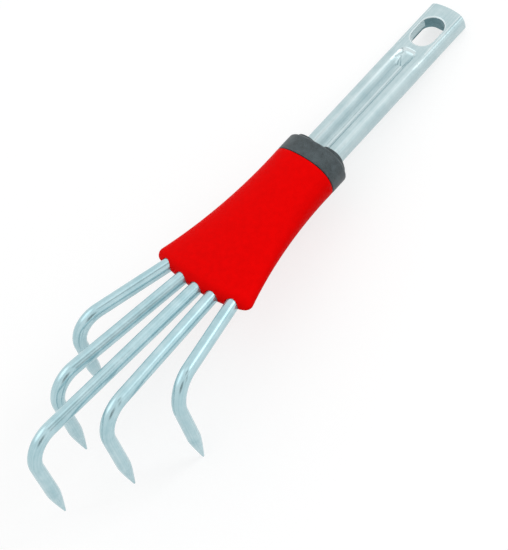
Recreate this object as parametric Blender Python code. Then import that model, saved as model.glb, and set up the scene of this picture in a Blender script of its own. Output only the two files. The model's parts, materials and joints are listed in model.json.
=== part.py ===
# Garden cultivator head: five hooked tines, a moulded hood and a push-in tongue for a long handle.
#
# Tool axes: Y runs along the tongue towards its free end, X to the right, Z away from the hooks.
# The tool origin is on the tongue's axis at the hood's upper edge, where the collar starts.
# Every sub-part hangs on one empty, which lays the tool down on its outer tips and its tongue.

import math
from dataclasses import dataclass, replace

import bmesh
import bpy
import numpy as np
from mathutils import Matrix, Vector

# Fits, in metres like every size here
FIT_GAP = 0.0003

# Tines: round bar, fanned out from the hood, each hooked down and drawn to a point
BAR_DIAMETER = 0.0080
TINE_COUNT = 5
ROOT_Y = -0.0580
ROOT_PITCH = 0.0085
CORNER_PITCH = 0.0192
CENTRE_REACH = 0.2237
REACH_STEP = 0.0355
FAN_RISE = math.radians(5.5)
FAN_AXIS_Y = -0.0893
BEND_RADIUS = 0.0160
HOOK_DROP = 0.0662
POINT_LENGTH = 0.0210
POINT_BLUNT = 0.0011
POINT_FULLNESS = 1.25

# Hood: moulded shell, oval at the collar, wide and flat at the tines, with a pillowed end
HOOD_LENGTH = 0.0945
HOOD_TOP_WIDTH = 0.0405
HOOD_TOP_DEPTH = 0.0300
HOOD_MOUTH_WIDTH = 0.0746
HOOD_MOUTH_DEPTH = 0.0132
HOOD_FLARE_POWER = 1.75
HOOD_WALL = 0.0022
HOOD_END_WEB = 0.0030
HOOD_NOSE = 0.0060
HOOD_CORNER = 0.0090
HOOD_MOUTH_CROWN = 0.0045
OVAL_POWER = 2.4

# Collar: stepped ring between hood and handle socket, with a spigot in the hood
COLLAR_HEIGHT = 0.0125
COLLAR_EDGE = 0.0010
LIP_HEIGHT = 0.0028
LIP_WALL = 0.0041
LIP_VALLEY = 0.0034
LIP_EDGE = 0.0006
LIP_ROOT_Y = 0.0040
SPIGOT_DEPTH = 0.0080

# Tongue: sheet steel rolled to a hollow two-lobed profile, its lower end pressed to a fishtail
TONGUE_WIDTH = 0.0248
TONGUE_THICKNESS = 0.0118
TONGUE_END_THICKNESS = 0.0110
TONGUE_SHEET = 0.0015
TONGUE_END_Y = 0.1337
TONGUE_END_CROWN = 0.0018
LOBE_POWER = 3.0
VALLEY_DEPTH = 0.0042
VALLEY_HALF_WIDTH = 0.0065
VALLEY_POWER = 1.25
SEAM_HALF_WIDTH = 0.00002
TUBE_LOW_Y = -0.0340
FISHTAIL_START_Y = -0.0530
FISHTAIL_END_Y = -0.0660
FISHTAIL_WIDTH = 0.0370

# Run-out of the valley: its floor ramps up between two creases to a round arch
GROOVE_RAMP_Y = 0.0860
GROOVE_ARCH_Y = 0.0955
GROOVE_END_Y = 0.0995
GROOVE_STEP = 0.0020
GROOVE_HALF_WIDTH = 0.0056
GROOVE_FLOOR_HALF_WIDTH = 0.0037
GROOVE_POWER = 1.1

# Latch hole through both walls of the tongue, wider in the back wall
LATCH_Y = 0.1133
LATCH_WIDTH = 0.0155
LATCH_LENGTH = 0.0225
LATCH_RIM = 0.0008
LATCH_BACK_WIDTH = 0.0206
LATCH_BACK_LENGTH = 0.0232
LATCH_BACK_CORNER = 0.0060

# Fillet welds between the fishtail's edge and each tine
WELD_LEG = 0.0020
WELD_WIDTH = 0.0052
WELD_SINK = 0.62

# Facets
BAR_SIDES = 20
BEND_STEPS = 9
POINT_STEPS = 5
OVAL_POINTS = 52
HOOD_STATIONS = 9
NOSE_STEPS = 6
END_STEPS = 12
FISHTAIL_STEPS = 4
RAMP_STEPS = 2
ARCH_STEPS = 5
CORNER_STEPS = 6
SHOULDER_STEPS = 10
VALLEY_STEPS = 5
SETTLE_ROUNDS = 5
NOSE_TIP_SHARE = 0.05
ARCH_TIP_SHARE = 0.05
CUT_MARGIN = 0.0100

RADIUS = BAR_DIAMETER / 2
DOWN = Vector((0, 0, -1))


# Scene and helpers

def clear_scene():
    for item in list(bpy.data.objects):
        bpy.data.objects.remove(item, do_unlink=True)


def make_material(name, colour, metallic, roughness):
    material = bpy.data.materials.new(name)
    material.use_nodes = True
    shader = material.node_tree.nodes["Principled BSDF"]
    shader.inputs["Base Color"].default_value = (*colour, 1)
    shader.inputs["Metallic"].default_value = metallic
    shader.inputs["Roughness"].default_value = roughness
    material.diffuse_color = (*colour, 1)
    return material


def add_object(name, bm, material=None, parent=None):
    bmesh.ops.recalc_face_normals(bm, faces=bm.faces)
    mesh = bpy.data.meshes.new(name)
    bm.to_mesh(mesh)
    bm.free()
    if material:
        mesh.materials.append(material)
    mesh.shade_smooth()
    mesh.set_sharp_from_angle(angle=math.radians(40))
    item = bpy.data.objects.new(name, mesh)
    bpy.context.scene.collection.objects.link(item)
    item.parent = parent
    return item


def make_cutter(name, bm, parent):
    cutter = add_object(name, bm, parent=parent)
    cutter.hide_render = True
    cutter.display_type = "WIRE"
    return cutter


def cut(item, cutter, operation="DIFFERENCE"):
    modifier = item.modifiers.new(cutter.name, "BOOLEAN")
    modifier.object = cutter
    modifier.operation = operation
    modifier.solver = "EXACT"


def close_bowed_end(bm, ring):
    """Close an end that isn't flat with a strip of faces between the ring's upper and lower half."""
    for i in range(len(ring) // 2):
        corners = (ring[i], ring[i + 1], ring[-i - 1], ring[-i])
        bm.faces.new(dict.fromkeys(corners))


def loft(bm, rings, bowed_end=False):
    """Skin a row of rings with equal point counts and close both ends."""
    rows = [[bm.verts.new(point) for point in ring] for ring in rings]
    count = len(rows[0])
    for low, high in zip(rows, rows[1:]):
        for i in range(count):
            j = (i + 1) % count
            bm.faces.new((low[i], low[j], high[j], high[i]))
    bm.faces.new(rows[0])
    if bowed_end:
        close_bowed_end(bm, rows[-1])
    else:
        bm.faces.new(reversed(rows[-1]))
    return bm


def prism(bm, outline, z_low, z_high):
    """A plan outline, extruded along Z."""
    return loft(bm, [[(x, y, z_low) for x, y in outline], [(x, y, z_high) for x, y in outline]])


def push_face(bm, face, shift, scale=1.0):
    """Extrude a face by a shift and scale the new one about its own middle."""
    made = bmesh.ops.extrude_face_region(bm, geom=[face])["geom"]
    verts = [g for g in made if isinstance(g, bmesh.types.BMVert)]
    new_face = next(g for g in made if isinstance(g, bmesh.types.BMFace))
    bmesh.ops.translate(bm, verts=verts, vec=shift)
    middle = sum((v.co for v in verts), Vector()) / len(verts)
    bmesh.ops.scale(bm, verts=verts, vec=(scale,) * 3, space=Matrix.Translation(-middle))
    return new_face


def drop_inner_faces(bm):
    """Extruding a face leaves the old one inside; its edges then carry three faces."""
    inner = [f for f in bm.faces if all(len(e.link_faces) > 2 for e in f.edges)]
    bmesh.ops.delete(bm, geom=inner, context="FACES_ONLY")


def oval(width, depth, y, power=OVAL_POWER):
    """A superellipse across the tool at one station."""
    points = []
    for i in range(OVAL_POINTS):
        angle = 2 * math.pi * i / OVAL_POINTS
        c, s = math.cos(angle), math.sin(angle)
        x = math.copysign(abs(c) ** (2 / power), c) * width / 2
        z = math.copysign(abs(s) ** (2 / power), s) * depth / 2
        points.append((x, y, z))
    return points


def round_slot(width, length, y_middle, radius):
    """Plan outline of a slot, long along Y, with rounded corners."""
    outline = []
    for quarter in range(4):
        start = quarter * math.pi / 2
        x = (width / 2 - radius) * (1 if quarter in (0, 3) else -1)
        y = (length / 2 - radius) * (1 if quarter in (0, 1) else -1)
        for i in range(CORNER_STEPS + 1):
            angle = start + math.pi / 2 * i / CORNER_STEPS
            outline.append((x + radius * math.cos(angle), y_middle + y + radius * math.sin(angle)))
    if width <= 2 * radius:
        del outline[CORNER_STEPS], outline[3 * CORNER_STEPS + 1]
    return outline


# Tines

def fan_z(y):
    """Height of the tines' centre plane, which crosses the tongue's axis near the mouth."""
    return (FAN_AXIS_Y - y) * math.tan(FAN_RISE)


def tine_points(side):
    """Root end and corner of a tine, from -2 on the left to 2 on the right."""
    root = Vector((side * ROOT_PITCH, ROOT_Y, fan_z(ROOT_Y)))
    corner_y = -(CENTRE_REACH - REACH_STEP * abs(side))
    corner = Vector((side * CORNER_PITCH, corner_y, fan_z(corner_y)))
    return root, corner


def disc(bm, centre, axis, radius):
    made = bmesh.ops.create_circle(bm, cap_ends=True, segments=BAR_SIDES, radius=radius)
    turn = Vector((0, 0, 1)).rotation_difference(axis).to_matrix().to_4x4()
    bmesh.ops.transform(bm, matrix=Matrix.Translation(centre) @ turn, verts=made["verts"])
    return bm.faces[:][-1]


def make_tine(name, side, material, parent):
    root, corner = tine_points(side)
    along = (corner - root).normalized()
    turn = along.angle(DOWN)
    setback = BEND_RADIUS * math.tan(turn / 2)
    axis = along.cross(DOWN).normalized()
    bend_start = corner - along * setback
    bend_centre = bend_start + axis.cross(along) * BEND_RADIUS

    bm = bmesh.new()
    face = disc(bm, root, along, RADIUS)
    face = push_face(bm, face, bend_start - root)
    bent = bmesh.ops.spin(bm, geom=[face], cent=bend_centre, axis=axis, angle=turn, steps=BEND_STEPS)
    face = next(g for g in bent["geom_last"] if isinstance(g, bmesh.types.BMFace))
    face = push_face(bm, face, DOWN * (HOOK_DROP - setback - POINT_LENGTH))
    radius = RADIUS
    for i in range(1, POINT_STEPS + 1):
        left = 1 - i / POINT_STEPS
        new_radius = POINT_BLUNT / 2 + (RADIUS - POINT_BLUNT / 2) * (1 - (1 - left) ** POINT_FULLNESS)
        face = push_face(bm, face, DOWN * POINT_LENGTH / POINT_STEPS, new_radius / radius)
        radius = new_radius
    drop_inner_faces(bm)
    return add_object(name, bm, material, parent)


# Tongue

@dataclass(frozen=True)
class Section:
    """One cross-section of the tongue: two lobes with a valley between them on the front."""
    y: float
    half_width: float = TONGUE_WIDTH / 2
    half_depth: float = TONGUE_THICKNESS / 2
    valley: float = VALLEY_DEPTH
    valley_half: float = VALLEY_HALF_WIDTH
    floor_half: float = SEAM_HALF_WIDTH
    power: float = VALLEY_POWER
    z: float = 0.0

    def grown(self, wall):
        return replace(self, half_width=self.half_width + wall, half_depth=self.half_depth + wall)

    def ring(self):
        reach = self.half_width - self.half_depth
        right = []
        for i in range(SHOULDER_STEPS + 1):
            angle = -math.pi / 2 + math.pi * i / SHOULDER_STEPS
            c, s = abs(math.cos(angle)), math.sin(angle)
            x = c ** (2 / LOBE_POWER) * self.half_depth if 0 < i < SHOULDER_STEPS else 0.0
            z = math.copysign(abs(s) ** (2 / LOBE_POWER), s) * self.half_depth
            right.append((reach + x, z))
        for i in range(1, VALLEY_STEPS + 1):
            share = i / VALLEY_STEPS
            x = self.valley_half + (self.floor_half - self.valley_half) * share
            right.append((x, self.half_depth - self.valley * share ** self.power))
        middle = [(0.0, right[-1][1])]
        left = [(-x, z) for x, z in reversed(right)]
        return [(x, self.y, z + self.z) for x, z in right + middle + left]


def fishtail_sections():
    """From the flat fishtail on the tines' roots up to the full tube."""
    tail_z = RADIUS + FIT_GAP + TONGUE_SHEET
    tail = FISHTAIL_WIDTH / 2
    flat_z = fan_z(FISHTAIL_END_Y) + tail_z
    sections = [Section(FISHTAIL_END_Y, half_width=tail, half_depth=TONGUE_SHEET, valley=0.0, z=flat_z)]
    for i in range(FISHTAIL_STEPS + 1):
        share = i / FISHTAIL_STEPS
        y = FISHTAIL_START_Y + (TUBE_LOW_Y - FISHTAIL_START_Y) * share
        blend = share * share * (3 - 2 * share)
        sections.append(Section(
            y,
            half_width=tail + (TONGUE_WIDTH / 2 - tail) * blend,
            half_depth=TONGUE_SHEET + (TONGUE_THICKNESS / 2 - TONGUE_SHEET) * blend,
            valley=VALLEY_DEPTH * blend,
            z=(fan_z(y) + tail_z) * (1 - blend),
        ))
    return sections


def groove_end_sections():
    """The valley's floor rises and widens between two creases, then ends under a round arch."""
    end_depth = TONGUE_END_THICKNESS / 2
    sections = [Section(GROOVE_RAMP_Y)]
    for i in range(1, RAMP_STEPS + 1):
        share = i / RAMP_STEPS
        sections.append(Section(
            GROOVE_RAMP_Y + (GROOVE_ARCH_Y - GROOVE_RAMP_Y) * share,
            half_depth=TONGUE_THICKNESS / 2 + (end_depth - TONGUE_THICKNESS / 2) * share,
            valley=VALLEY_DEPTH + (GROOVE_STEP - VALLEY_DEPTH) * share,
            valley_half=VALLEY_HALF_WIDTH + (GROOVE_HALF_WIDTH - VALLEY_HALF_WIDTH) * share,
            floor_half=SEAM_HALF_WIDTH + (GROOVE_FLOOR_HALF_WIDTH - SEAM_HALF_WIDTH) * share,
            power=VALLEY_POWER + (GROOVE_POWER - VALLEY_POWER) * share,
        ))
    arch = sections[-1]
    for i in range(1, ARCH_STEPS + 1):
        angle = math.pi / 2 * i / ARCH_STEPS
        left = max(math.cos(angle), SEAM_HALF_WIDTH / GROOVE_FLOOR_HALF_WIDTH)
        sections.append(replace(
            arch,
            y=GROOVE_ARCH_Y + (GROOVE_END_Y - GROOVE_ARCH_Y) * math.sin(angle),
            valley=GROOVE_STEP * math.sqrt(math.cos(angle)) if i < ARCH_STEPS else 0.0,
            valley_half=GROOVE_HALF_WIDTH * max(left, ARCH_TIP_SHARE),
            floor_half=GROOVE_FLOOR_HALF_WIDTH * left,
        ))
    sections.append(replace(arch, y=TONGUE_END_Y + CUT_MARGIN, valley=0.0))
    return sections


def arc_end(half_width, y_crown, crown, y_far):
    """Plan outline from y_far to a shallow arc that peaks at y_crown."""
    toward = math.copysign(1, y_crown - y_far)
    outline = [(half_width, y_far), (-half_width, y_far)]
    for i in range(END_STEPS + 1):
        x = -half_width + 2 * half_width * i / END_STEPS
        outline.append((x, y_crown - toward * crown * (2 * x / TONGUE_WIDTH) ** 2))
    return outline


def cut_latch_hole(tongue, parent):
    """A slot through both walls, with a rolled rim in front and more room in the back wall."""
    face = TONGUE_END_THICKNESS / 2
    rings = []
    for z, growth in ((0.0, 0.0), (face - LATCH_RIM, 0.0), (face, LATCH_RIM), (face + CUT_MARGIN, LATCH_RIM)):
        width = LATCH_WIDTH + 2 * growth
        outline = round_slot(width, LATCH_LENGTH + 2 * growth, LATCH_Y, width / 2)
        rings.append([(x, y, z) for x, y in outline])
    cut(tongue, make_cutter("latch_front_cutter", loft(bmesh.new(), rings), parent))
    outline = round_slot(LATCH_BACK_WIDTH, LATCH_BACK_LENGTH, LATCH_Y, LATCH_BACK_CORNER)
    back = prism(bmesh.new(), outline, -face - CUT_MARGIN, 0.0)
    cut(tongue, make_cutter("latch_back_cutter", back, parent))


def make_tongue(material, parent):
    run_out = groove_end_sections()
    rings = [section.ring() for section in fishtail_sections() + run_out]
    tongue = add_object("tongue", loft(bmesh.new(), rings), material, parent)
    outline = arc_end(TONGUE_WIDTH, TONGUE_END_Y, TONGUE_END_CROWN, FISHTAIL_END_Y - CUT_MARGIN)
    trim = prism(bmesh.new(), outline, -TONGUE_THICKNESS, TONGUE_THICKNESS)
    cut(tongue, make_cutter("tongue_trim_cutter", trim, parent), "INTERSECT")

    inner_end = TONGUE_END_Y - TONGUE_END_CROWN - TONGUE_SHEET
    hollow = [Section(TUBE_LOW_Y)] + run_out[:-1] + [replace(run_out[-1], y=inner_end)]
    rings = [section.grown(-TONGUE_SHEET).ring() for section in hollow]
    cut(tongue, make_cutter("tongue_hollow_cutter", loft(bmesh.new(), rings), parent))
    cut_latch_hole(tongue, parent)
    return tongue


# Hood

def hood_half_width(y):
    flare = (abs(y) / HOOD_LENGTH) ** HOOD_FLARE_POWER
    return (HOOD_TOP_WIDTH + (HOOD_MOUTH_WIDTH - HOOD_TOP_WIDTH) * flare) / 2


def hood_half_depth(y):
    return (HOOD_TOP_DEPTH + (HOOD_MOUTH_DEPTH - HOOD_TOP_DEPTH) * -y / HOOD_LENGTH) / 2


def hood_ring(y, inset, depth_share=1.0):
    """One section of the hood. The end is arched in plan, so its rings lean back at their sides."""
    corner = HOOD_CORNER - inset
    beyond = min(max((-y - HOOD_LENGTH + HOOD_CORNER) / HOOD_CORNER, 0.0), 1.0)
    half_width = hood_half_width(y) - inset - corner * (1 - math.sqrt(1 - beyond ** 2))
    half_depth = (hood_half_depth(y) - inset) * depth_share
    ring = []
    for x, _, z in oval(2 * half_width, 2 * half_depth, y):
        lean = HOOD_MOUTH_CROWN * (2 * x / HOOD_MOUTH_WIDTH) ** 2 * max(0.0, -y / HOOD_LENGTH)
        ring.append((x, y + lean, z))
    return ring


def pillow(y_high, inset, nose):
    """The hood's body or its cavity: a lofted shell whose far end is closed by a round nose."""
    y_low = -HOOD_LENGTH + HOOD_NOSE
    rings = [hood_ring(y_high + (y_low - y_high) * i / HOOD_STATIONS, inset) for i in range(HOOD_STATIONS + 1)]
    for i in range(1, NOSE_STEPS + 1):
        turn = math.pi / 2 * i / NOSE_STEPS
        rings.append(hood_ring(y_low - nose * math.sin(turn), inset, max(math.cos(turn), NOSE_TIP_SHARE)))
    return loft(bmesh.new(), rings, bowed_end=True)


def make_hood(material, parent):
    hood = add_object("hood", pillow(0.0, 0.0, HOOD_NOSE), material, parent)
    cavity = pillow(CUT_MARGIN / 2, HOOD_WALL, HOOD_NOSE - HOOD_END_WEB)
    cut(hood, make_cutter("hood_cavity_cutter", cavity, parent))
    for i in range(TINE_COUNT):
        root, corner = tine_points(i - TINE_COUNT // 2)
        bm = bmesh.new()
        face = disc(bm, root, (corner - root).normalized(), RADIUS + FIT_GAP)
        push_face(bm, face, (corner - root) / 2)
        cut(hood, make_cutter(f"tine_hole_{i + 1}_cutter", bm, parent))
    return hood


# Collar

def make_collar(material, parent):
    """A spigot and a ring like the hood's end, with a lip that follows the tongue's two lobes."""
    inset = HOOD_WALL + FIT_GAP
    rounded = (HOOD_TOP_WIDTH - 2 * COLLAR_EDGE, HOOD_TOP_DEPTH - 2 * COLLAR_EDGE, COLLAR_HEIGHT)
    rings = [
        hood_ring(-SPIGOT_DEPTH, inset),
        hood_ring(0.0, inset),
        [(x, FIT_GAP, z) for x, y, z in hood_ring(0.0, inset)],
        oval(HOOD_TOP_WIDTH, HOOD_TOP_DEPTH, FIT_GAP),
        oval(HOOD_TOP_WIDTH, HOOD_TOP_DEPTH, COLLAR_HEIGHT - COLLAR_EDGE),
        oval(*rounded),
    ]
    collar = add_object("collar", loft(bmesh.new(), rings), material, parent)
    top = COLLAR_HEIGHT + LIP_HEIGHT
    outer = Section(top, valley=LIP_VALLEY).grown(LIP_WALL)
    lip = [replace(outer, y=LIP_ROOT_Y), replace(outer, y=top - LIP_EDGE), outer.grown(-LIP_EDGE)]
    cut(collar, make_cutter("collar_lip_cutter", loft(bmesh.new(), [r.ring() for r in lip]), parent), "UNION")
    slot = [Section(-SPIGOT_DEPTH - CUT_MARGIN / 2), Section(top + CUT_MARGIN / 2)]
    rings = [section.grown(FIT_GAP).ring() for section in slot]
    cut(collar, make_cutter("collar_slot_cutter", loft(bmesh.new(), rings), parent))
    return collar


# Welds

def make_weld(name, side, material, parent):
    """A fillet on top of a tine, in the corner below the fishtail's edge."""
    root, corner = tine_points(side)
    edge_y = FISHTAIL_END_Y - FIT_GAP
    centre = root.lerp(corner, (edge_y - root.y) / (corner.y - root.y))
    low = centre.z + RADIUS * WELD_SINK
    high = centre.z + RADIUS + WELD_LEG
    rings = []
    for x in (centre.x - WELD_WIDTH / 2, centre.x + WELD_WIDTH / 2):
        rings.append([(x, edge_y, low), (x, edge_y, high), (x, edge_y - (high - low), low)])
    weld = add_object(name, loft(bmesh.new(), rings), material, parent)
    bar = bmesh.new()
    face = disc(bar, root, (corner - root).normalized(), RADIUS + FIT_GAP)
    push_face(bar, face, (corner - root) / 2)
    cut(weld, make_cutter(f"{name}_cutter", bar, parent))
    return weld


# Assembly

def tool_points(items):
    """Y and Z of every vertex, with the modifiers applied, in tool axes."""
    graph = bpy.context.evaluated_depsgraph_get()
    rows = []
    for item in items:
        mesh = item.evaluated_get(graph).to_mesh()
        rows += [(v.co.y, v.co.z) for v in mesh.vertices]
    return np.array(rows)


def lay_down(tool, items):
    """Turn the tool until its outer tips and its tongue's end lie on Z = 0, centred over the origin."""
    points = tool_points(items)
    angle = 0.0
    for _ in range(SETTLE_ROUNDS):
        c, s = math.cos(angle), math.sin(angle)
        y = points[:, 0] * c - points[:, 1] * s
        z = points[:, 0] * s + points[:, 1] * c
        front = np.where(y < 0, z, np.inf).argmin()
        rear = np.where(y > 0, z, np.inf).argmin()
        angle -= math.atan2(z[rear] - z[front], y[rear] - y[front])
    tool.rotation_euler = (angle, 0, 0)
    tool.location = (0, -(y.min() + y.max()) / 2, -z.min())


def build():
    clear_scene()
    zinc = make_material("zinc_plated_steel", (0.60, 0.69, 0.71), 1.0, 0.32)
    red = make_material("red_moulded_plastic", (0.78, 0.0, 0.0), 0.0, 0.35)
    grey = make_material("grey_moulded_plastic", (0.07, 0.085, 0.09), 0.0, 0.5)
    tool = bpy.data.objects.new("tool_frame", None)
    bpy.context.scene.collection.objects.link(tool)
    parts = [make_tongue(zinc, tool), make_hood(red, tool), make_collar(grey, tool)]
    for i in range(TINE_COUNT):
        side = i - TINE_COUNT // 2
        parts.append(make_tine(f"tine_{i + 1}", side, zinc, tool))
        parts.append(make_weld(f"weld_{i + 1}", side, zinc, tool))
    lay_down(tool, parts)


build()
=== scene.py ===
# %% [markdown]
# # A five-tine garden cultivator head
# The real tool is a push-in head for a long handle. Five bent steel bars are welded under the flat
# end of a rolled steel tongue, a red moulded hood covers the welds, and a grey collar closes the
# hood where the handle meets it. The CAD model fixes every size. This lesson puts smooth pieces
# in place of its coarse ones, gives each a finish, and sets up a small photo studio around them.

# %% Load the frame
import json
import math

import bmesh
import bpy
from mathutils import Euler, Matrix, Vector


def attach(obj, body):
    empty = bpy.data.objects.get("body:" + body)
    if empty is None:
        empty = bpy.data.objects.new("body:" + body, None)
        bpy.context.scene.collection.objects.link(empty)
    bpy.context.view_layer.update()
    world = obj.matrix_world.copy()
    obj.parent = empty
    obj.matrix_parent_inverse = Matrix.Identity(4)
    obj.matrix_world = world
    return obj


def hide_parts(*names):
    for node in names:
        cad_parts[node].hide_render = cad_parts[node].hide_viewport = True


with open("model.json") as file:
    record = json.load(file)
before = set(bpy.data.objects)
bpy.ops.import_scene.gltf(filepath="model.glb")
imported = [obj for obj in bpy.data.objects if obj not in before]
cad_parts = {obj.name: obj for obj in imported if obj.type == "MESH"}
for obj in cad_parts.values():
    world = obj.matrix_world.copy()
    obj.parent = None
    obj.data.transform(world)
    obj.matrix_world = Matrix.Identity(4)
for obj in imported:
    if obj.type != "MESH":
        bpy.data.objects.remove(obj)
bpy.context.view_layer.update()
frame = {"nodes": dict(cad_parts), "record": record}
print("CAD nodes:", ", ".join(sorted(frame["nodes"])))

# %% [markdown]
# ## The tool's own axes
# The tool lies tilted, on its outer tips and the end of its tongue. Each piece is far easier to
# draw along the tool's own axes: Y runs up the tongue, X to the right, and Z away from the hooks.
# The record says where the handle's flat seat is and which way it faces, and that gives the tilt.

# %% Find the tool's axes
SEAT_ON_TOOL = Vector((0, 0.0125, 0.0116))

seat = next(mount for mount in frame["record"]["mounts"] if mount["name"] == "handle_seat")
tilt = math.atan2(seat["axis"][2], seat["axis"][1])
turn = Matrix.Rotation(tilt, 4, "X")
to_world = Matrix.Translation(Vector(seat["pos_m"]) - turn @ SEAT_ON_TOOL) @ turn
print(f"the tool leans {math.degrees(tilt):.2f} degrees about X")

# %% [markdown]
# ## Finishes
# Every finish is a small node tree: a pattern in real millimetres drives the colour, the roughness
# and a shallow bump. One helper adds a node with its settings and links, so that a tree reads from
# top to bottom like a recipe, and one turns sRGB hex colours to the linear ones that shaders use.

# %% Helpers for colours and nodes
MM = 0.001


def linear(hex_colour):
    """An sRGB hex colour as linear red, green, blue and alpha."""
    values = [int(hex_colour[i:i + 2], 16) / 255 for i in (1, 3, 5)]
    lit = [v / 12.92 if v <= 0.04045 else ((v + 0.055) / 1.055) ** 2.4 for v in values]
    return (*lit, 1.0)


def add_node(tree, kind, settings=None, **sockets):
    """Add a node with its properties, and give each socket a value or a link.

    A socket is named as Blender names it, with _ for a space, or by its number, such as _0.
    """
    node = tree.nodes.new(kind)
    for name, value in (settings or {}).items():
        setattr(node, name, value)
    for name, value in sockets.items():
        numbered = name[1:].isdigit()
        socket = node.inputs[int(name[1:]) if numbered else name.replace("_", " ")]
        if isinstance(value, bpy.types.NodeSocket):
            tree.links.new(value, socket)
        else:
            socket.default_value = value
    return node


def new_material(name):
    """An empty material with its output, and the tree to fill."""
    material = bpy.data.materials.new(name)
    material.use_nodes = True
    material.node_tree.nodes.clear()
    return material, material.node_tree


print("MM is", MM, "metres")

# %% [markdown]
# ## Steps that every finish shares
# No real surface is even. A noise pattern with patches of a known size stands for clouds in a
# plating, lines from drawing or waves from a mould. Two such patterns are mixed, and the mix
# drives the colour between two tones and the roughness round its middle value. The patterns on
# their own give shallow bumps.

# %% Helpers for patterns, tones, gloss and relief
TONE_RANGE = (0.35, 0.65)
GLOSS_RANGE = (0.3, 0.7)


def add_noise(tree, place, size, detail, roughness=0.5):
    """A noise pattern with patches of about the given size."""
    return add_node(
        tree, "ShaderNodeTexNoise",
        Vector=place, Scale=1 / size, Detail=detail, Roughness=roughness,
    ).outputs["Fac"]


def mix_values(tree, factor, first, second):
    """A value between two others."""
    return add_node(
        tree, "ShaderNodeMix", {"data_type": "FLOAT"}, _0=factor, _2=first, _3=second,
    ).outputs[0]


def add_math(tree, operation, *values):
    """The result of one sum on values or links."""
    sockets = {f"_{i}": value for i, value in enumerate(values)}
    return add_node(tree, "ShaderNodeMath", {"operation": operation}, **sockets).outputs[0]


def add_tones(tree, pattern, low, high):
    """A colour between two hex colours, driven by a pattern."""
    ramp = add_node(tree, "ShaderNodeValToRGB", Fac=pattern)
    for element, place, colour in zip(ramp.color_ramp.elements, TONE_RANGE, (low, high)):
        element.position = place
        element.color = linear(colour)
    return ramp.outputs["Color"]


def add_gloss(tree, pattern, roughness, spread):
    """A roughness that a pattern moves up and down by the spread."""
    return add_node(
        tree, "ShaderNodeMapRange", Value=pattern,
        From_Min=GLOSS_RANGE[0], From_Max=GLOSS_RANGE[1],
        To_Min=roughness - spread, To_Max=roughness + spread,
    ).outputs["Result"]


def add_relief(tree, *layers):
    """Bumps on top of each other, each from a pattern, a strength and a real depth."""
    below = {}
    for pattern, strength, depth in layers:
        bump = add_node(
            tree, "ShaderNodeBump", Height=pattern, Strength=strength, Distance=depth, **below,
        )
        below = {"Normal": bump.outputs["Normal"]}
    return below["Normal"]


print("tones turn over", TONE_RANGE, "of a pattern, gloss over", GLOSS_RANGE)

# %% [markdown]
# ## Zinc-plated steel
# Bars and tongue are mild steel with bright zinc plating and a thin blue passivation. The eye sees
# a pale, cool metal with a soft mirror: faint drawing lines run with the bar, and the plating is
# a little cloudy in patches. The bars carry their own straightened coordinates, so that the lines
# follow them round the bend. The tongue uses object coordinates, turned back to its own axes.

# %% The zinc plating
DRAWN_LINE = 0.55 * MM
DRAWN_LINE_LENGTH = 60 * MM
LINE_SHARE = 0.45
LINE_BUMP = 0.25
CLOUD = 9 * MM
CLOUD_ROUGHNESS = 0.6
GRAIN = 0.5 * MM
GRAIN_BUMP = 0.15
ZINC_RELIEF = 0.02 * MM
ZINC_GLOSS_SPREAD = 0.04
METALLIC = 0.62
# a darker zinc: painted shade on the tongue's left slope, its creases and the far shoulder
PAINTED_SHADE_ZINC = "#648b94"


def add_painted_highlight_and_shade(tree, colour, painted_highlight_colour):
    """Blend to the painted highlight colour where the attribute is positive, and below 0 to the
    painted shade colour. A piece without the attribute keeps its colour."""
    # the attribute paints a highlight above 0 and shade below 0 into the zinc colour
    painted_highlight_share = add_node(tree, "ShaderNodeAttribute", {"attribute_name": "painted_highlight_and_shade"}).outputs["Fac"]
    painted_shade_share = add_math(tree, "MULTIPLY", painted_highlight_share, -1.0)
    for factor, target in ((painted_highlight_share, painted_highlight_colour), (painted_shade_share, PAINTED_SHADE_ZINC)):
        colour = add_node(
            tree, "ShaderNodeMix", {"data_type": "RGBA"}, _0=factor, _6=colour, _7=linear(target),
        ).outputs[2]
    return colour


def zinc_plating(name, coordinates, low, high, roughness, painted_highlight_colour=None):
    """Bright zinc on steel. coordinates is 'straight' for bars and 'object' for sheet."""
    material, tree = new_material(name)
    across, lengthwise = 1 / DRAWN_LINE, 1 / DRAWN_LINE_LENGTH
    if coordinates == "straight":
        place = add_node(tree, "ShaderNodeAttribute", {"attribute_name": "straight"})
        run = (across, across, lengthwise)
    else:
        space = add_node(tree, "ShaderNodeTexCoord").outputs["Object"]
        place = add_node(tree, "ShaderNodeMapping", Vector=space, Rotation=(-tilt, 0, 0))
        run = (across, lengthwise, across)
    place = place.outputs["Vector"]
    along = add_node(tree, "ShaderNodeMapping", Vector=place, Scale=run).outputs["Vector"]
    lines = add_noise(tree, along, 1.0, 3.0)
    cloud = add_noise(tree, place, CLOUD, 4.0, CLOUD_ROUGHNESS)
    grain = add_noise(tree, place, GRAIN, 2.0)
    pattern = mix_values(tree, LINE_SHARE, cloud, lines)
    colour = add_tones(tree, pattern, low, high)
    if painted_highlight_colour:
        colour = add_painted_highlight_and_shade(tree, colour, painted_highlight_colour)
    relief = add_relief(tree, (lines, LINE_BUMP, ZINC_RELIEF), (grain, GRAIN_BUMP, ZINC_RELIEF))
    shader = add_node(
        tree, "ShaderNodeBsdfPrincipled", Base_Color=colour, Metallic=METALLIC, Normal=relief,
        Roughness=add_gloss(tree, pattern, roughness, ZINC_GLOSS_SPREAD),
    )
    add_node(tree, "ShaderNodeOutputMaterial", Surface=shader.outputs["BSDF"])
    return material


print("drawing lines:", DRAWN_LINE / MM, "by", DRAWN_LINE_LENGTH / MM, "mm")
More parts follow.
